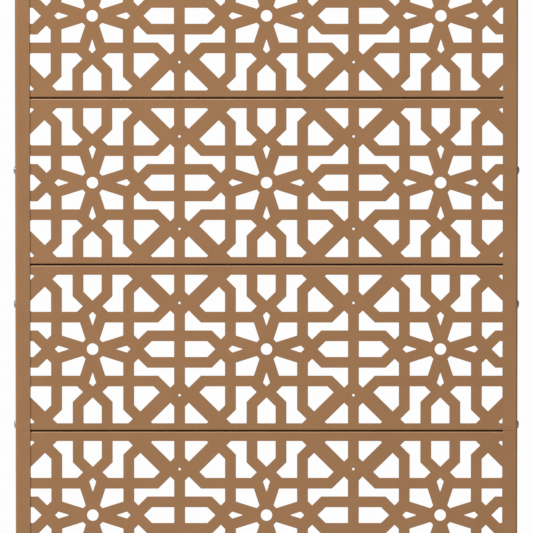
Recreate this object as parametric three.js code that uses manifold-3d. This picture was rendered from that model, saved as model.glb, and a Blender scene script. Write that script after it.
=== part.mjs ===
// Mashrabiya screen in powder-coated sheet metal: four folded lattice panels, one above
// another, held at their ends in two channel posts by dome-head bolts.
// Millimetres. +X is to the right, the front faces -Y, +Z is up, and z = 0 is the underside.
import * as THREE from 'three';
import { mergeVertices } from 'three/addons/utils/BufferGeometryUtils.js';
import Module from 'manifold-3d';

const wasm = await Module();
wasm.setup();

// The whole screen
const OVERALL_WIDTH = 890;
const PANEL_NAMES = ['panel_4_bottom', 'panel_3', 'panel_2', 'panel_1_top']; // upwards
const PANEL_PITCH = 295.4; // from one panel's lower edge to the next
const CLEARANCE = 0.3; // between neighbouring pieces
const SHEET = 1.5; // thickness of every folded sheet
const BEND_STEPS = 2; // facets on a quarter turn of a fold

// Panels. Where another panel stands on one, its upper return is folded short of square: it
// rises to meet the other at the back, and leaves a dark open groove between the faces.
const PANEL_BEND_RADIUS = 2; // outside radius of the folds
const SPLAY = 2.5; // the upper return rises by this much towards the back

// Channel posts, open towards the panels
const POST_FACE = 26; // width seen from the front
const POST_DEPTH = 26;
const POST_BEND_RADIUS = 3.5;
const POST_JOINT_PANELS = 1; // the lower lengths reach the top of this many panels

// Dome-head bolts through the outer side of the posts
const BOLT_HEAD_RADIUS = 7;
const BOLT_HEAD_HEIGHT = 3.1;
const BOLT_RIM_HEIGHT = 0.8;
const BOLT_SHANK_RADIUS = 3;
const BOLT_SHANK_LENGTH = 9;
const BOLT_SEGMENTS = 6;
const HIGH_BOLT_UNDER_SEAM = 129.7; // down from the upper edge of its panel
const MIDDLE_BOLT_UNDER_SEAM = 71.9;
const LOW_BOLT_OVER_SEAM = 9.6; // up from the lower edge of its panel

// Lattice: one star in each bay, three bays to a panel. Sizes are from the star's centre.
const BAYS = 3;
const STAR_SPACING = 308.25;
const STAR_HEIGHT = 144.2; // above the panel's lower edge
const WINDOW_HALF_HEIGHT = 131.9; // edge of the plain bands along the top and bottom
const WINDOW_HALF_WIDTH = 424; // the cutting stops out of sight, inside the posts
const RISE = 0.987; // the drawing's 45 degree straps are flattened by this much
const STRAP = 19.3; // width of every strap
const UPRIGHT = 63.9; // upright straps beside the star
const CROSSBAR = 57.5; // level straps over and under the star
const HEXAGON_BAR = 23.9; // level straps over and under the side hexagons
const ARCH_BAR = 25.7; // upright straps beside the arches
const HEXAGON_CROSSING = 77.1; // where the hexagon straps meet on the level axis
const ARCH_CROSSING = 73.5; // where the arch straps meet on the upright axis
const UPRIGHT_DIAGONAL = 41.3; // y - x along the outer run of the upright straps
const CROSSBAR_DIAGONAL = 54.7; // x - y along the outer run of the level straps
const CORNER_DIAGONAL = 220.8; // x + y along the corner strap
const CORNER_TAIL = 210.4; // x + y along the corner strap's tail in the band
const KITE_TIP = 67.1; // outer tips of the four small kites
const SIDE_POINT_EDGE = 98.5; // x + y along the outer edge of the star's side points
const END_POINT_EDGE = 94.6; // the same for its upper and lower points
const PETAL_ANGLE = THREE.MathUtils.degToRad(17.8);
const PETAL_START = 9.8; // where the middle line of a petal strap leaves its axis
const HUB_TIP = 29.7; // the hub is a square on its corners, with these half diagonals
const HUB_CORNERS = 4;
const STAR_HOLE_RADIUS = 10.2;
const STAR_HOLE_SEGMENTS = 8;
const DOT_HOLE_RADIUS = 2.2;
const DOT_HOLE_SEGMENTS = 4;

const POWDER_COAT = { color: 0x9c7553, roughness: 0.55, metalness: 0.0 };
const BOLT_STEEL = { color: 0x8f8c88, roughness: 0.4, metalness: 1.0 };

const SCREEN_HEIGHT = PANEL_NAMES.length * PANEL_PITCH - CLEARANCE;
const PANEL_HEIGHT = PANEL_PITCH - CLEARANCE;
const PANEL_WIDTH = OVERALL_WIDTH - 2 * (SHEET + CLEARANCE);
const PANEL_FRONT = -POST_DEPTH / 2 + SHEET + CLEARANCE; // the face lies behind the posts' lips
const PANEL_BACK = POST_DEPTH / 2 - POST_BEND_RADIUS; // the returns stop short of the posts' folds
const THROUGH = 2 * POST_DEPTH; // length of a cut that goes right through the screen
const OVERRUN = 1.1; // straps run on past the window's edge by this factor
const FACE_CUT_DEPTH = 1.5 * SHEET; // the lattice is cut this deep, clear of the returns
const MERGE_DISTANCE = 1e-4; // corners nearer together than this are one

// Solids from three.js geometry, and back
function solidOf(geometry) {
  const bare = geometry.clone();
  bare.deleteAttribute('normal');
  bare.deleteAttribute('uv');
  const merged = mergeVertices(bare, MERGE_DISTANCE);
  return new wasm.Manifold(new wasm.Mesh({
    numProp: 3,
    vertProperties: Float32Array.from(merged.attributes.position.array),
    triVerts: Uint32Array.from(merged.index.array),
  }));
}

function geometryOf(solid) {
  const mesh = solid.getMesh();
  const geometry = new THREE.BufferGeometry();
  geometry.setAttribute('position', new THREE.BufferAttribute(mesh.vertProperties, 3));
  geometry.setIndex(new THREE.BufferAttribute(mesh.triVerts, 1));
  return geometry;
}

function joined(solids) {
  return solids.reduce((whole, solid) => whole.add(solid));
}

// A flat outline in X and Z, cut straight through the depth of the screen
function throughCut(shape) {
  const geometry = new THREE.ExtrudeGeometry(shape, { depth: THROUGH, bevelEnabled: false });
  geometry.rotateX(Math.PI / 2);
  geometry.translate(0, THROUGH / 2, 0);
  return solidOf(geometry);
}

function roundCut(x, z, radius, segments) {
  const geometry = new THREE.CylinderGeometry(radius, radius, THROUGH, segments);
  geometry.translate(x, 0, z);
  return solidOf(geometry);
}

// A strap of even width along a middle line, with mitred bends and square ends
function strapOutline(middle, width) {
  const left = [];
  const right = [];
  middle.forEach((point, i) => {
    const before = middle[Math.max(i - 1, 0)];
    const after = middle[Math.min(i + 1, middle.length - 1)];
    const into = point.clone().sub(before).normalize();
    const out = after.clone().sub(point).normalize();
    const along = into.clone().add(out).normalize();
    const straight = into.lengthSq() > 0 ? into : out;
    const reach = width / 2 / Math.abs(along.dot(straight));
    const side = new THREE.Vector2(-along.y, along.x).multiplyScalar(reach);
    left.push(point.clone().add(side));
    right.push(point.clone().sub(side));
  });
  return [...left, ...right.reverse()];
}

// The straps in the quarter of a bay right of and above the star, as middle lines
function quarterStraps() {
  const at = (x, y) => new THREE.Vector2(x, y);
  const tuck = STRAP / 2; // straps start this far inside a neighbour
  const past = OVERRUN * WINDOW_HALF_HEIGHT / RISE; // beyond the edge of the window
  const halfBay = STAR_SPACING / 2;
  const slope = Math.tan(PETAL_ANGLE);
  const petalEnd = UPRIGHT;
  const petalRise = (petalEnd - PETAL_START) * slope;
  const sidePoint = (KITE_TIP + SIDE_POINT_EDGE) / 2;
  const endPoint = (KITE_TIP + END_POINT_EDGE) / 2;
  const tailTop = (CORNER_TAIL + UPRIGHT_DIAGONAL) / 2;
  return [
    // upright strap, then outwards along the diagonal into the band
    [at(UPRIGHT, tuck), at(UPRIGHT, UPRIGHT + UPRIGHT_DIAGONAL), at(past - UPRIGHT_DIAGONAL, past)],
    // level strap, then along the diagonal to the upright between two bays
    [at(tuck, CROSSBAR), at(CROSSBAR + CROSSBAR_DIAGONAL, CROSSBAR),
      at(halfBay, halfBay - CROSSBAR_DIAGONAL)],
    // side hexagon
    [at(halfBay, HEXAGON_BAR), at(HEXAGON_CROSSING + HEXAGON_BAR, HEXAGON_BAR), at(HEXAGON_CROSSING, 0)],
    // arch
    [at(ARCH_BAR, past), at(ARCH_BAR, ARCH_CROSSING + ARCH_BAR), at(0, ARCH_CROSSING)],
    // corner strap and its tail
    [at(halfBay, CORNER_DIAGONAL - halfBay), at(CORNER_DIAGONAL - past, past)],
    [at(tailTop, CORNER_TAIL - tailTop), at(CORNER_TAIL - past, past)],
    // the two petal straps
    [at(PETAL_START, 0), at(petalEnd, petalRise)],
    [at(0, PETAL_START), at(petalRise, petalEnd)],
  ].map((middle) => strapOutline(middle, STRAP)).concat([
    // the star's points
    strapOutline([at(sidePoint, 0), at(UPRIGHT, sidePoint - UPRIGHT)],
      (SIDE_POINT_EDGE - KITE_TIP) / Math.SQRT2),
    strapOutline([at(0, endPoint), at(endPoint - CROSSBAR, CROSSBAR)],
      (END_POINT_EDGE - KITE_TIP) / Math.SQRT2),
  ]);
}

// Every strap of one bay, about its star's centre
function bayStraps() {
  const quarter = quarterStraps();
  const straps = [];
  for (const sx of [1, -1]) {
    for (const sy of [1, -1]) {
      for (const outline of quarter) {
        const points = outline.map((p) => new THREE.Vector2(sx * p.x, sy * RISE * p.y));
        straps.push(throughCut(new THREE.Shape(points)));
      }
    }
  }
  straps.push(roundCut(0, 0, HUB_TIP, HUB_CORNERS));
  return joined(straps);
}

function rectangle(halfWidth, halfHeight) {
  return new THREE.Shape([
    new THREE.Vector2(-halfWidth, -halfHeight),
    new THREE.Vector2(halfWidth, -halfHeight),
    new THREE.Vector2(halfWidth, halfHeight),
    new THREE.Vector2(-halfWidth, halfHeight),
  ]);
}

// All that is cut out of a panel's face, about the middle star's centre
function latticeOpenings() {
  const bay = bayStraps();
  let openings = throughCut(rectangle(WINDOW_HALF_WIDTH, WINDOW_HALF_HEIGHT));
  for (let i = 0; i < BAYS; i += 1) {
    const x = (i - (BAYS - 1) / 2) * STAR_SPACING;
    openings = openings.subtract(bay.translate([x, 0, 0]));
    openings = openings.add(roundCut(x, 0, STAR_HOLE_RADIUS, STAR_HOLE_SEGMENTS));
  }
  // an upright strap between neighbouring bays, with a dot where the diagonals meet on it
  const betweenBays = throughCut(rectangle(STRAP / 2, OVERRUN * WINDOW_HALF_HEIGHT));
  const dotHeight = RISE * (CORNER_DIAGONAL - CROSSBAR_DIAGONAL) / 2;
  for (let i = 1; i < BAYS; i += 1) {
    const x = (i - BAYS / 2) * STAR_SPACING;
    openings = openings.subtract(betweenBays.translate([x, 0, 0]));
    for (const z of [-dotHeight, dotHeight]) {
      openings = openings.add(roundCut(x, z, DOT_HOLE_RADIUS, DOT_HOLE_SEGMENTS));
    }
  }
  return openings;
}

// A panel's outline folded twice towards the back, this far inside its skin, with the end of
// its span splayed outwards. Drawn with the span along X and the depth along Y.
function foldedShape(halfSpan, inset, splay) {
  const radius = PANEL_BEND_RADIUS - inset;
  const front = PANEL_FRONT + inset;
  const start = -halfSpan;
  const end = halfSpan - splay;
  const shape = new THREE.Shape();
  shape.moveTo(start, PANEL_BACK);
  shape.lineTo(start, front + radius);
  shape.absarc(start + radius, front + radius, radius, Math.PI, 1.5 * Math.PI, false);
  shape.lineTo(end - radius, front);
  shape.absarc(end - radius, front + radius, radius, 1.5 * Math.PI, 2 * Math.PI, false);
  shape.lineTo(halfSpan, PANEL_BACK);
  shape.closePath();
  return shape;
}

// The block inside a folded skin: rounded along all four front edges
function foldedBlock(inset, splay) {
  const halfWidth = PANEL_WIDTH / 2 - inset;
  const halfHeight = PANEL_HEIGHT / 2 - inset;
  const extrude = (shape, length) => new THREE.ExtrudeGeometry(
    shape,
    { depth: length, bevelEnabled: false, curveSegments: BEND_STEPS },
  ).translate(0, 0, -length / 2);
  const sides = extrude(foldedShape(halfWidth, inset, 0), 2 * halfHeight);
  const ends = extrude(foldedShape(halfHeight, inset, splay), 2 * halfWidth)
    .rotateY(-Math.PI / 2);
  return solidOf(sides).intersect(solidOf(ends)).translate([0, 0, PANEL_HEIGHT / 2]);
}

// The lattice's openings as deep as the face, about the panel's lower edge
function faceOpenings() {
  const face = solidOf(new THREE.BoxGeometry(PANEL_WIDTH, 2 * FACE_CUT_DEPTH, PANEL_HEIGHT)
    .translate(0, PANEL_FRONT, PANEL_HEIGHT / 2));
  return latticeOpenings().translate([0, 0, STAR_HEIGHT]).intersect(face);
}

// A folded tray with the lattice cut through its face. The top one has square returns.
function panelBlank(index, openings) {
  const splay = index < PANEL_NAMES.length - 1 ? SPLAY : 0;
  return foldedBlock(0, splay).subtract(foldedBlock(SHEET, splay)).subtract(openings);
}

// Heights of the bolts above the underside of the screen, with the panel each one holds,
// the panels counted upwards from 0
function boltPlaces() {
  const seamUnder = (panel) => panel * PANEL_PITCH - CLEARANCE / 2;
  return [
    { panel: 2, z: seamUnder(3) - HIGH_BOLT_UNDER_SEAM },
    { panel: 1, z: seamUnder(2) - MIDDLE_BOLT_UNDER_SEAM },
    { panel: 1, z: seamUnder(1) + LOW_BOLT_OVER_SEAM },
  ];
}

function boltHole(side, z) {
  const radius = BOLT_SHANK_RADIUS + CLEARANCE;
  const geometry = new THREE.CylinderGeometry(radius, radius, 2 * BOLT_SHANK_LENGTH, BOLT_SEGMENTS);
  geometry.rotateZ(Math.PI / 2);
  geometry.translate(side * OVERALL_WIDTH / 2, 0, z);
  return solidOf(geometry);
}

function panelGeometry(index, openings) {
  const bottom = index * PANEL_PITCH;
  let solid = panelBlank(index, openings);
  for (const { panel, z } of boltPlaces()) {
    if (panel === index) {
      for (const side of [-1, 1]) {
        solid = solid.subtract(boltHole(side, z - bottom));
      }
    }
  }
  return geometryOf(solid.translate([0, 0, bottom]));
}

// The section of a post, with its closed side at the left and its lips at x = 0
function postShape() {
  const half = POST_DEPTH / 2;
  const radius = POST_BEND_RADIUS;
  const inner = radius - SHEET;
  const bendX = -POST_FACE + radius; // the bends' centres
  const bendY = half - radius;
  const shape = new THREE.Shape();
  shape.moveTo(0, half);
  shape.lineTo(bendX, half);
  shape.absarc(bendX, bendY, radius, 0.5 * Math.PI, Math.PI, false);
  shape.lineTo(-POST_FACE, -bendY);
  shape.absarc(bendX, -bendY, radius, Math.PI, 1.5 * Math.PI, false);
  shape.lineTo(0, -half);
  shape.lineTo(0, -half + SHEET);
  shape.lineTo(bendX, -half + SHEET);
  shape.absarc(bendX, -bendY, inner, 1.5 * Math.PI, Math.PI, true);
  shape.lineTo(-POST_FACE + SHEET, bendY);
  shape.absarc(bendX, bendY, inner, Math.PI, 0.5 * Math.PI, true);
  shape.lineTo(0, half - SHEET);
  shape.closePath();
  return shape;
}

function postGeometry(side, bottom, top) {
  const geometry = new THREE.ExtrudeGeometry(postShape(), {
    depth: top - bottom, bevelEnabled: false, curveSegments: BEND_STEPS,
  });
  if (side > 0) {
    geometry.rotateZ(Math.PI);
  }
  geometry.translate(side * (OVERALL_WIDTH / 2 - POST_FACE), 0, bottom);
  let solid = solidOf(geometry);
  for (const { z } of boltPlaces()) {
    if (z > bottom && z < top) {
      solid = solid.subtract(boltHole(side, z));
    }
  }
  return geometryOf(solid);
}

// Dome head, rim and shank, turned about +Y, with the underside of the head at y = 0
function boltGeometry() {
  const dome = BOLT_HEAD_HEIGHT - BOLT_RIM_HEIGHT;
  const profile = [
    [0, -BOLT_SHANK_LENGTH],
    [BOLT_SHANK_RADIUS, -BOLT_SHANK_LENGTH],
    [BOLT_SHANK_RADIUS, 0],
    [BOLT_HEAD_RADIUS, 0],
    [BOLT_HEAD_RADIUS, BOLT_RIM_HEIGHT],
    [BOLT_HEAD_RADIUS * Math.SQRT1_2, BOLT_RIM_HEIGHT + dome * Math.SQRT1_2],
    [0, BOLT_HEAD_HEIGHT],
  ].map(([r, y]) => new THREE.Vector2(r, y));
  return new THREE.LatheGeometry(profile, BOLT_SEGMENTS);
}

function namedMesh(name, geometry, finish) {
  const mesh = new THREE.Mesh(geometry, new THREE.MeshStandardMaterial(finish));
  mesh.name = name;
  return mesh;
}

const screen = new THREE.Group();

const openings = faceOpenings();
PANEL_NAMES.forEach((name, index) => {
  screen.add(namedMesh(name, panelGeometry(index, openings), POWDER_COAT));
});

const jointHeight = POST_JOINT_PANELS * PANEL_PITCH;
for (const [word, side] of [['left', -1], ['right', 1]]) {
  const lower = postGeometry(side, 0, jointHeight - CLEARANCE);
  const upper = postGeometry(side, jointHeight, SCREEN_HEIGHT);
  screen.add(namedMesh(`post_${word}_lower`, lower, POWDER_COAT));
  screen.add(namedMesh(`post_${word}_upper`, upper, POWDER_COAT));
  boltPlaces().forEach(({ z }, i) => {
    const bolt = namedMesh(`bolt_${word}_${i + 1}`, boltGeometry(), BOLT_STEEL);
    bolt.rotation.z = -side * Math.PI / 2;
    bolt.position.set(side * (OVERALL_WIDTH / 2), 0, z);
    screen.add(bolt);
  });
}

export default screen;
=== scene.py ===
import math

import bmesh
import bpy
from mathutils import Matrix, Vector


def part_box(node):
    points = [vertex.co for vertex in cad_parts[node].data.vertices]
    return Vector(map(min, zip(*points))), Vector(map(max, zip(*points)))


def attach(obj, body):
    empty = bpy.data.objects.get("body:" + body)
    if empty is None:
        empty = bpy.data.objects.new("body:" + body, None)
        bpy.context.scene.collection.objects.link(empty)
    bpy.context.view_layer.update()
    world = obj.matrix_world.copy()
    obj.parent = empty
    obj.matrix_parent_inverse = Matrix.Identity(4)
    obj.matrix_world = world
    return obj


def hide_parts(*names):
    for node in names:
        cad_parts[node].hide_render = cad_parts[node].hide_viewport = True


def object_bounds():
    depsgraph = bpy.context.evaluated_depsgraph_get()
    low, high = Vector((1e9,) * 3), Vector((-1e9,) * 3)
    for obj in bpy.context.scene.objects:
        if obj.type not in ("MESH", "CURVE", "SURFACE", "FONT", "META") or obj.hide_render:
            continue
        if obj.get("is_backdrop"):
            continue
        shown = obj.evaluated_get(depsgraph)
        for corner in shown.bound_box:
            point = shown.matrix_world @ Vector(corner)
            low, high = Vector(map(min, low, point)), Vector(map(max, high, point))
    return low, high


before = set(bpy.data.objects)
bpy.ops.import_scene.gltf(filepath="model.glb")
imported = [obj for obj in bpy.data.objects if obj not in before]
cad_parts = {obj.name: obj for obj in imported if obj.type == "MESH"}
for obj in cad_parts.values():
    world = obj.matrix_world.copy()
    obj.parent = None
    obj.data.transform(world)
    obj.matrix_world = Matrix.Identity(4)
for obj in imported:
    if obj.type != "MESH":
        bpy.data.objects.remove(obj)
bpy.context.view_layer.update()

# Mashrabiya screen: four folded sheet-metal lattice panels between two channel posts, all
# powder coated, with dome-head bolts. Lengths are in metres. +X is right, the front faces -Y
# and +Z is up.
MM = 0.001
SAME_PLACE = 0.01 * MM  # points nearer than this are one point
CUT_TOLERANCE = 0.001 * MM  # points nearer than this to a cut lie on it

# Sheet metal
SHEET = 1.5 * MM
BEND_STEPS = 8
RIM_RADIUS = 0.3 * MM  # the coating rounds every cut edge by this much
RIM_STEPS = 2
CORNER_RADIUS = 0.6 * MM  # of a laser-cut corner
CORNER_STEPS = 3
STRAIGHT_ANGLE = math.radians(3.5)  # an outline that turns less than this has no corner there
ROUND_HOLE_STEPS = 48
BOLT_HOLE_RADIUS = 3.3 * MM
RECTANGLE = ((1, -1), (1, 1), (-1, 1), (-1, -1))  # the sides that its corners are on, in order

# Dome-head bolts
HEAD_RADIUS = 7 * MM
HEAD_HEIGHT = 3.1 * MM
HEAD_RIM = 0.8 * MM  # the height at which the dome starts
HEAD_CHAMFER = 0.25 * MM
SHANK_RADIUS = 3 * MM
BOLT_STEPS = 64
DOME_STEPS = 12
SHARP_ANGLE = math.radians(35)  # an edge that turns more than this is sharp

# Finishes. Clouds are the slow change of colour, and grain is the fine relief. Colours are
# linear.
POWDER_COAT = {
    "metallic": 0,
    "roughness": 0.45,
    "roughness_spread": 0.05,
    "dark": (0.297, 0.147, 0.0587, 1),
    "light": (0.315, 0.157, 0.0648, 1),
    "cloud_size": 60 * MM,
    "grain_size": 0.9 * MM,
    "grain_stretch": (1, 1, 1),
    "relief": 0.03 * MM,
    "relief_strength": 0.6,
}
BOLT_STEEL = {
    "metallic": 1,
    "roughness": 0.4,
    "roughness_spread": 0.08,
    "dark": (0.44, 0.43, 0.41, 1),
    "light": (0.58, 0.57, 0.54, 1),
    "cloud_size": 4 * MM,
    "grain_size": 0.35 * MM,
    "grain_stretch": (1, 0.3, 0.3),  # turning marks, which run round the bolt
    "relief": 0.02 * MM,
    "relief_strength": 0.5,
}
CLOUD_DETAIL = 4
CLOUD_LOW = 0.35  # the noise at which the colour is darkest
CLOUD_HIGH = 0.65  # the noise at which it is lightest
GRAIN_DETAIL = 3

# Camera and lights. Azimuths and elevations are in degrees, from the front, and powers in watts.
CAMERA_AZIMUTH = 0.013
CAMERA_ELEVATION = 3.6
CAMERA_DISTANCE = 14.17
CAMERA_AIM = Vector((0, -0.011, 0.5863))
CAMERA_SENSOR_MM = 36
CAMERA_LENS_MM = 540.3
CAMERA_REACH = 100
KEY = {"azimuth": -44, "elevation": 42, "distance": 12, "size": 3, "power": 1440}
TOP = {"azimuth": -45, "elevation": 80, "distance": 4.2, "size": 0.8, "power": 165}
AMBIENT = 0.24

# Floor and backdrop
WHITE = (1, 1, 1, 1)
BLACK = (0, 0, 0, 1)
BACKDROP_ROUGHNESS = 0.9
FLOOR_RADIUS = 7
FLOOR_STEPS = 128
FLOOR_GAP = 0.01 * MM  # under the screen
FLOOR_COLOUR = (0.42, 0.42, 0.42, 1)
SWEEP_START = 0.9  # back from the screen's middle
SWEEP_WALL = 6  # back from the screen's middle
SWEEP_CURVE = 0.5
SWEEP_STEPS = 8
SWEEP_HEIGHT = 1.8
SWEEP_WIDTH = 5
SWEEP_LIFT = 1 * MM  # over the screen's underside
SWEEP_GLOW = 0.985


# Mesh


def quarter_turn(steps):
    """The angles from nought to a right angle in even steps, both ends included."""
    return [math.pi / 2 * step / steps for step in range(steps + 1)]


def full_turn(steps):
    """The angles of even steps all the way round."""
    return [2 * math.pi * step / steps for step in range(steps)]


def band(mesh, near, far, closed=True):
    """Joins two rows of points with quads. A closed band joins the last points to the first."""
    for i in range(0 if closed else 1, len(near)):
        mesh.faces.new((near[i - 1], near[i], far[i], far[i - 1]))


def mesh_data(name, mesh):
    """The data of an object, from the mesh that was built for it."""
    data = bpy.data.meshes.new(name)
    mesh.to_mesh(data)
    mesh.free()
    return data


def linked(name, data):
    """A new object in the scene."""
    thing = bpy.data.objects.new(name, data)
    bpy.context.scene.collection.objects.link(thing)
    return thing


# Outlines. Each is a list of (point, outward): a place in U and V, and the unit direction out
# of the sheet there. The sheet lies on the left of the outline's run.


def front_loops(node):
    """The closed loops of corners, in X and Z, round the flat front face of a CAD panel."""
    source = bmesh.new()
    source.from_mesh(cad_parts[node].data)
    bmesh.ops.remove_doubles(source, verts=source.verts, dist=SAME_PLACE)
    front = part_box(node)[0].y
    flat = [f for f in source.faces if all(v.co.y - front < SAME_PLACE for v in f.verts)]
    flat_set = set(flat)
    following = {}
    for face in flat:
        for side in face.loops:
            others = [f for f in side.edge.link_faces if f is not face]
            if not flat_set.intersection(others):
                following[side.vert] = side.link_loop_next.vert
    loops = []
    while following:
        vert = next(iter(following))
        loop = []
        while vert in following:
            loop.append(Vector((vert.co.x, vert.co.z)))
            vert = following.pop(vert)
        loops.append(loop)
    source.free()
    return loops


def right_of(direction):
    """The direction a quarter turn to the right of this one."""
    return Vector((direction.y, -direction.x))


def rounded_outline(corners):
    """A polygon's outline with every corner rounded."""
    outline = []
    for i, corner in enumerate(corners):
        into = (corner - corners[i - 1]).normalized()
        out = (corners[(i + 1) % len(corners)] - corner).normalized()
        turn = math.atan2(into.x * out.y - into.y * out.x, into.dot(out))
        if abs(turn) < STRAIGHT_ANGLE:
            continue
        left = math.copysign(1, turn)
        start = right_of(into)
        tangent = corner - into * CORNER_RADIUS * math.tan(abs(turn) / 2)
        centre = tangent - start * left * CORNER_RADIUS
        for step in range(CORNER_STEPS + 1):
            outward = Matrix.Rotation(turn * step / CORNER_STEPS, 2) @ start
            outline.append((centre + outward * left * CORNER_RADIUS, outward))
    return outline


def round_outline(centre, radius):
    """The outline of a round hole."""
    outline = []
    for angle in full_turn(ROUND_HOLE_STEPS):
        outward = Vector((-math.cos(angle), math.sin(angle)))
        outline.append((centre - outward * radius, outward))
    return outline


def hole_outline(loop):
    """A hole's outline. A regular polygon stands for a round hole through its corners."""
    centre = sum(loop, Vector((0, 0))) / len(loop)
    radii = [(corner - centre).length for corner in loop]
    edges = [(corner - loop[i - 1]).length for i, corner in enumerate(loop)]
    if all(max(sizes) - min(sizes) < SAME_PLACE for sizes in (radii, edges)):
        return round_outline(centre, radii[0])
    return rounded_outline(loop)


# Folded sheets


class FoldedSheet:
    """A sheet that is made flat from its outlines, with rounded cut edges, and then folded and
    put in place. It is flat in U and V, with the depth behind its front as the third axis."""

    def __init__(self, outlines):
        self.mesh = bmesh.new()
        self.normals = self.mesh.verts.layers.float_vector.new("normal")
        front_edges = []
        back_edges = []
        for outline in outlines:
            rings = [self.ring(outline, *place) for place in rim_profile()]
            for near, far in zip(rings, rings[1:]):
                band(self.mesh, near, far)
            front_edges += self.edges_of(rings[0])
            back_edges += self.edges_of(rings[-1])
        self.fill(front_edges, -1)
        self.fill(back_edges, 1)

    def ring(self, outline, inset, depth, outwards, backwards):
        """One ring of points round a cut edge, with the direction that the surface faces."""
        ring = []
        for point, outward in outline:
            place = point - outward * inset
            vert = self.mesh.verts.new((place.x, place.y, depth))
            facing = outward * outwards
            vert[self.normals] = Vector((facing.x, facing.y, backwards))
            ring.append(vert)
        return ring

    def edges_of(self, ring):
        """The edges from each point of a ring to the next."""
        return [self.mesh.edges.get((ring[i - 1], ring[i])) for i in range(len(ring))]

    def fill(self, edges, facing):
        """Fills a flat side of the sheet, facing to the front (-1) or the back (1)."""
        filled = bmesh.ops.triangle_fill(self.mesh, use_beauty=True, edges=edges)
        for face in filled["geom"]:
            if isinstance(face, bmesh.types.BMFace):
                face.normal_update()
                if face.normal.z * facing < 0:
                    face.normal_flip()

    def cut_across(self, axis, place):
        """Adds an edge straight across the sheet, so that it can bend there."""
        point = Vector((0, 0, 0))
        point[axis] = place
        direction = Vector((0, 0, 0))
        direction[axis] = 1
        everything = self.mesh.verts[:] + self.mesh.edges[:] + self.mesh.faces[:]
        bmesh.ops.bisect_plane(
            self.mesh, geom=everything, dist=CUT_TOLERANCE, plane_co=point, plane_no=direction
        )

    def fold(self, axis, side, span, radius, turn):
        """Folds back what is beyond the span on one side, along U (0) or V (1). The radius is
        the front's, and the front keeps its length."""
        bend = radius * turn
        for step in range(BEND_STEPS + 1):
            self.cut_across(axis, side * (span + bend * step / BEND_STEPS))
        for vert in self.mesh.verts:
            beyond = side * vert.co[axis] - span
            if beyond <= 0:
                continue
            angle = min(beyond / radius, turn)
            straight = max(beyond - bend, 0)
            inner = radius - vert.co.z
            out = inner * math.sin(angle) + straight * math.cos(turn)
            vert.co[axis] = side * (span + out)
            vert.co.z = radius - inner * math.cos(angle) + straight * math.sin(turn)
            facing = vert[self.normals].copy()
            outwards = side * facing[axis]
            facing[axis] = side * (outwards * math.cos(angle) - facing.z * math.sin(angle))
            facing.z = outwards * math.sin(angle) + facing.z * math.cos(angle)
            vert[self.normals] = facing

    def place(self, origin, along_u, along_v, backwards):
        """Turns U, V and depth into these directions, from this origin."""
        turn = Matrix((along_u, along_v, backwards)).transposed()
        for vert in self.mesh.verts:
            vert.co = origin + turn @ vert.co
            vert[self.normals] = turn @ vert[self.normals]
        if turn.determinant() < 0:
            bmesh.ops.reverse_faces(self.mesh, faces=self.mesh.faces)

    def made(self, name):
        """The finished object."""
        facing = [vert[self.normals].normalized() for vert in self.mesh.verts]
        self.mesh.verts.layers.float_vector.remove(self.normals)
        data = mesh_data(name, self.mesh)
        data.shade_smooth()
        data.normals_split_custom_set_from_vertices(facing)
        return linked(name, data)


def rim_profile():
    """The rings round a cut edge, from the front face to the back one, each as its inset, its
    depth, and how far it faces outwards and backwards."""
    rings = []
    for angle in quarter_turn(RIM_STEPS):
        inset = RIM_RADIUS * (1 - math.sin(angle))
        depth = RIM_RADIUS * (1 - math.cos(angle))
        rings.append((inset, depth, math.sin(angle), -math.cos(angle)))
    behind = [(inset, SHEET - depth, out, -back) for inset, depth, out, back in reversed(rings)]
    return rings + behind


def bolt_places(node):
    """The heights of the bolts that go through a CAD node."""
    low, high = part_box(node)
    middles = [sum(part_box(name), Vector()) / 2 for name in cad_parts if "bolt_left" in name]
    return [middle.z for middle in middles if low.z < middle.z < high.z]


def return_fold(rise, depth, radius):
    """The fold of a return whose end lies this far out from where the bend starts and this far
    behind the bend's centre: the angle it turns by, and the length of sheet it takes."""
    away = math.hypot(rise, depth)
    turn = math.atan2(depth, rise) + math.asin(radius / away)
    return turn, radius * turn + math.sqrt(away * away - radius * radius)


def face_spans(face):
    """How far a panel's face reaches from its middle, by axis (U is 0, V is 1) and side."""
    spans = {}
    for axis in (0, 1):
        for side in (-1, 1):
            spans[axis, side] = max(side * corner[axis] for corner in face)
    return spans


def panel_blank(spans, folds):
    """The corners of a panel's sheet before it is folded, with a notch where returns meet."""
    blank = []
    for side_u, side_v in RECTANGLE:
        span_u, span_v = spans[0, side_u], spans[1, side_v]
        end_u = span_u + folds[0, side_u][1]
        end_v = span_v + folds[1, side_v][1]
        notch = [
            Vector((side_u * span_u, side_v * end_v)),
            Vector((side_u * span_u, side_v * span_v)),
            Vector((side_u * end_u, side_v * span_v)),
        ]
        blank += notch if side_u * side_v < 0 else notch[::-1]
    return blank


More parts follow.
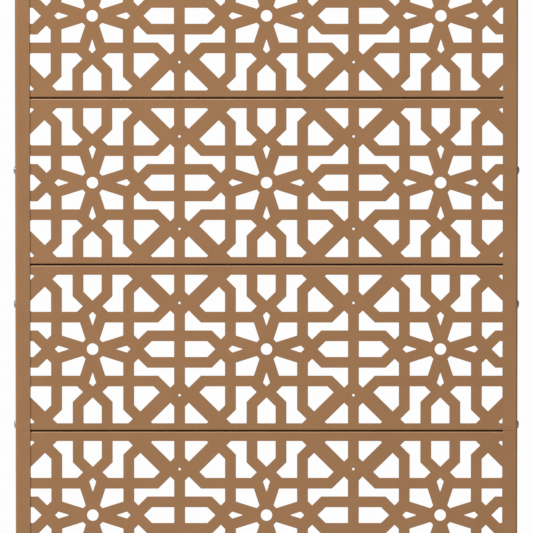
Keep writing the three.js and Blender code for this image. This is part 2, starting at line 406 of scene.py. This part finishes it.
def panel(node):
    """A lattice panel: a flat face with all four edges folded back, some short of square."""
    low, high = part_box(node)
    centre = (low + high) / 2
    half_size = (high.x - centre.x, high.z - centre.z)
    middle = Vector((centre.x, centre.z))
    loops = [[corner - middle for corner in loop] for loop in front_loops(node)]
    face = max(loops, key=lambda loop: max(corner.x for corner in loop))
    spans = face_spans(face)
    radius = half_size[0] - spans[0, 1]
    depth = high.y - low.y - radius
    folds = {}
    for (axis, side), span in spans.items():
        folds[axis, side] = return_fold(half_size[axis] - span, depth, radius)
    outlines = [rounded_outline(panel_blank(spans, folds))]
    outlines += [hole_outline(loop) for loop in loops if loop is not face]
    bolt_depth = -low.y - radius  # the bolts are at Y = 0
    for height in bolt_places(node):
        for side in (-1, 1):
            out = spans[0, side] + radius * folds[0, side][0] + bolt_depth
            hole = Vector((side * out, height - middle.y))
            outlines.append(round_outline(hole, BOLT_HOLE_RADIUS))
    sheet = FoldedSheet(outlines)
    for (axis, side), (turn, _) in folds.items():
        sheet.fold(axis, side, spans[axis, side], radius, turn)
    sheet.place(Vector((centre.x, low.y, centre.z)), (1, 0, 0), (0, 0, 1), (0, 1, 0))
    return sheet.made(node + "_sheet")


def post(node, radius):
    """A channel post, open towards the panels."""
    low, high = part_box(node)
    centre = (low + high) / 2
    side = math.copysign(1, centre.x)
    half_height = (high.z - low.z) / 2
    span = (high.y - low.y) / 2 - radius
    flange = radius * math.pi / 2 + high.x - low.x - radius
    half_width = span + flange
    blank = [Vector((u * half_width, v * half_height)) for u, v in RECTANGLE]
    outlines = [rounded_outline(blank)]
    for height in bolt_places(node):
        outlines.append(round_outline(Vector((0, height - centre.z)), BOLT_HOLE_RADIUS))
    sheet = FoldedSheet(outlines)
    for end in (-1, 1):
        sheet.fold(0, end, span, radius, math.pi / 2)
    outer = high.x if side > 0 else low.x
    sheet.place(Vector((outer, centre.y, centre.z)), (0, 1, 0), (0, 0, 1), (-side, 0, 0))
    return sheet.made(node + "_sheet")


# Bolts


def bolt(node, post_side):
    """A dome-head bolt, turned about X, with its head on the outer side of the post."""
    low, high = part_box(node)
    centre = (low + high) / 2
    side = math.copysign(1, centre.x)
    shank = high.x - low.x - HEAD_HEIGHT
    edge = HEAD_RADIUS - HEAD_CHAMFER
    profile = [
        (SHANK_RADIUS, -shank),
        (SHANK_RADIUS, 0),
        (edge, 0),
        (HEAD_RADIUS, HEAD_CHAMFER),
        (HEAD_RADIUS, HEAD_RIM - HEAD_CHAMFER),
    ]
    for angle in quarter_turn(DOME_STEPS)[:-1]:
        rise = (HEAD_HEIGHT - HEAD_RIM) * math.sin(angle)
        profile.append((edge * math.cos(angle), HEAD_RIM + rise))
    mesh = bmesh.new()
    rings = []
    for radius, out in profile:
        middle = Vector((post_side + side * out, centre.y, centre.z))
        ring = []
        for angle in full_turn(BOLT_STEPS):
            away = Vector((0, math.cos(angle), math.sin(angle))) * radius
            ring.append(mesh.verts.new(middle + away))
        rings.append(ring)
    for near, far in zip(rings, rings[1:]):
        band(mesh, near, far)
    mesh.faces.new(rings[0])
    crown = mesh.verts.new((post_side + side * HEAD_HEIGHT, centre.y, centre.z))
    for i in range(BOLT_STEPS):
        mesh.faces.new((rings[-1][i - 1], rings[-1][i], crown))
    bmesh.ops.recalc_face_normals(mesh, faces=mesh.faces)
    name = node + "_turned"
    data = mesh_data(name, mesh)
    data.shade_smooth()
    data.set_sharp_from_angle(angle=SHARP_ANGLE)
    return linked(name, data)


# Materials


class Finish:
    """A node material whose colour changes in clouds and whose surface has a fine relief."""

    def __init__(self, name, look):
        self.material = bpy.data.materials.new(name)
        self.material.use_nodes = True
        self.nodes = self.material.node_tree.nodes
        self.links = self.material.node_tree.links
        self.shader = self.nodes["Principled BSDF"]
        self.shader.inputs["Roughness"].default_value = look["roughness"]
        self.shader.inputs["Metallic"].default_value = look["metallic"]
        self.place = self.nodes.new("ShaderNodeTexCoord").outputs["Object"]
        cloud = self.noise(look["cloud_size"], CLOUD_DETAIL, (1, 1, 1))
        self.to_shader("Base Color", self.ramp(cloud, look["dark"], look["light"]))
        grain = self.noise(look["grain_size"], GRAIN_DETAIL, look["grain_stretch"])
        low = look["roughness"] - look["roughness_spread"]
        high = look["roughness"] + look["roughness_spread"]
        self.to_shader("Roughness", self.between(grain, low, high))
        self.to_shader("Normal", self.bump(grain, look["relief"], look["relief_strength"]))

    def noise(self, size, detail, stretch):
        """Noise with features of this size. A smaller stretch makes them longer that way."""
        mapping = self.nodes.new("ShaderNodeMapping")
        mapping.inputs["Scale"].default_value = stretch
        noise = self.nodes.new("ShaderNodeTexNoise")
        noise.inputs["Scale"].default_value = 1 / size
        noise.inputs["Detail"].default_value = detail
        self.links.new(self.place, mapping.inputs["Vector"])
        self.links.new(mapping.outputs["Vector"], noise.inputs["Vector"])
        return noise.outputs["Fac"]

    def ramp(self, source, dark, light):
        """Colours from dark to light as the source rises."""
        ramp = self.nodes.new("ShaderNodeValToRGB")
        first, last = ramp.color_ramp.elements
        first.position = CLOUD_LOW
        first.color = dark
        last.position = CLOUD_HIGH
        last.color = light
        self.links.new(source, ramp.inputs["Fac"])
        return ramp.outputs["Color"]

    def between(self, source, low, high):
        """A value from low to high as the source rises."""
        change = self.nodes.new("ShaderNodeMapRange")
        change.inputs["To Min"].default_value = low
        change.inputs["To Max"].default_value = high
        self.links.new(source, change.inputs["Value"])
        return change.outputs["Result"]

    def bump(self, source, height, strength):
        """Relief of this height, as the direction that the surface faces."""
        bump = self.nodes.new("ShaderNodeBump")
        bump.inputs["Distance"].default_value = height
        bump.inputs["Strength"].default_value = strength
        self.links.new(source, bump.inputs["Height"])
        return bump.outputs["Normal"]

    def to_shader(self, socket, source):
        """Feeds one of the shader's sockets."""
        self.links.new(source, self.shader.inputs[socket])


def plain_material(name, colour, glow):
    """A material of one colour without gloss, for the floor and the backdrop."""
    material = bpy.data.materials.new(name)
    material.use_nodes = True
    shader = material.node_tree.nodes["Principled BSDF"]
    shader.inputs["Base Color"].default_value = colour
    shader.inputs["Roughness"].default_value = BACKDROP_ROUGHNESS
    shader.inputs["Specular IOR Level"].default_value = 0
    shader.inputs["Emission Color"].default_value = WHITE
    shader.inputs["Emission Strength"].default_value = glow
    return material


# Studio


def floor():
    """A plain grey floor."""
    mesh = bmesh.new()
    bmesh.ops.create_circle(mesh, cap_ends=True, radius=FLOOR_RADIUS, segments=FLOOR_STEPS)
    data = mesh_data("floor", mesh)
    data.materials.append(plain_material("floor_grey", FLOOR_COLOUR, 0))
    ground = linked("floor", data)
    ground.location.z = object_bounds()[0].z - FLOOR_GAP
    ground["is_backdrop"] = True


def sweep():
    """A white paper sweep behind the screen, from the floor up a low wall."""
    bend = Vector((SWEEP_WALL - SWEEP_CURVE, 0))
    line = [Vector((SWEEP_START, 0)), bend]
    for angle in quarter_turn(SWEEP_STEPS)[1:]:
        line.append(bend + Vector((math.sin(angle), 1 - math.cos(angle))) * SWEEP_CURVE)
    line.append(Vector((SWEEP_WALL, SWEEP_HEIGHT)))
    mesh = bmesh.new()
    rows = []
    for place in line:
        ends = [(end * SWEEP_WIDTH / 2, place.x, place.y) for end in (-1, 1)]
        rows.append([mesh.verts.new(end) for end in ends])
    for near, far in zip(rows, rows[1:]):
        band(mesh, near, far, closed=False)
    data = mesh_data("sweep", mesh)
    data.materials.append(plain_material("sweep_white", BLACK, SWEEP_GLOW))
    paper = linked("sweep", data)
    paper.location.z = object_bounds()[0].z + SWEEP_LIFT
    paper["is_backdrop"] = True


def aimed(name, data, azimuth, elevation, distance):
    """A camera or light that looks at the aim from these angles and this far away."""
    azimuth = math.radians(azimuth)
    elevation = math.radians(elevation)
    level = math.cos(elevation)
    away = Vector((math.sin(azimuth) * level, -math.cos(azimuth) * level, math.sin(elevation)))
    thing = linked(name, data)
    thing.location = CAMERA_AIM + away * distance
    thing.rotation_mode = "QUATERNION"
    thing.rotation_quaternion = away.to_track_quat("Z", "Y")
    return thing


def softbox(name, azimuth, elevation, distance, size, power):
    """A square soft light."""
    light = bpy.data.lights.new(name, "AREA")
    light.size = size
    light.energy = power
    aimed(name, light, azimuth, elevation, distance)


def surroundings():
    """Even white light from all round."""
    world = bpy.data.worlds.new("studio")
    world.use_nodes = True
    background = world.node_tree.nodes["Background"]
    background.inputs["Color"].default_value = WHITE
    background.inputs["Strength"].default_value = AMBIENT
    bpy.context.scene.world = world


def camera():
    """A long lens, nearly straight in front."""
    view = bpy.data.cameras.new("camera")
    view.sensor_width = CAMERA_SENSOR_MM
    view.lens = CAMERA_LENS_MM
    view.clip_end = CAMERA_REACH
    place = (CAMERA_AZIMUTH, CAMERA_ELEVATION, CAMERA_DISTANCE)
    bpy.context.scene.camera = aimed("camera", view, *place)


def dress(piece, material, node):
    """Gives a piece its material and puts it in the frame instead of its CAD node."""
    piece.data.materials.append(material)
    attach(piece, "root")
    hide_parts(node)


coat = Finish("powder_coat", POWDER_COAT).material
steel = Finish("bolt_steel", BOLT_STEEL).material
nodes = sorted(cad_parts)
panels = [node for node in nodes if node.startswith("panel")]
# The panels' backs stop where the posts' folds start.
bend_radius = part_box("post_left_upper")[1].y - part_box(panels[0])[1].y
outer_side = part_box("post_right_upper")[1].x
for node in panels:
    dress(panel(node), coat, node)
for node in nodes:
    if node.startswith("post"):
        dress(post(node, bend_radius), coat, node)
    if node.startswith("bolt"):
        side = outer_side if "right" in node else -outer_side
        dress(bolt(node, side), steel, node)

floor()
sweep()
softbox("key", **KEY)
softbox("top", **TOP)
surroundings()
camera()
bpy.context.scene.view_settings.view_transform = "Standard"
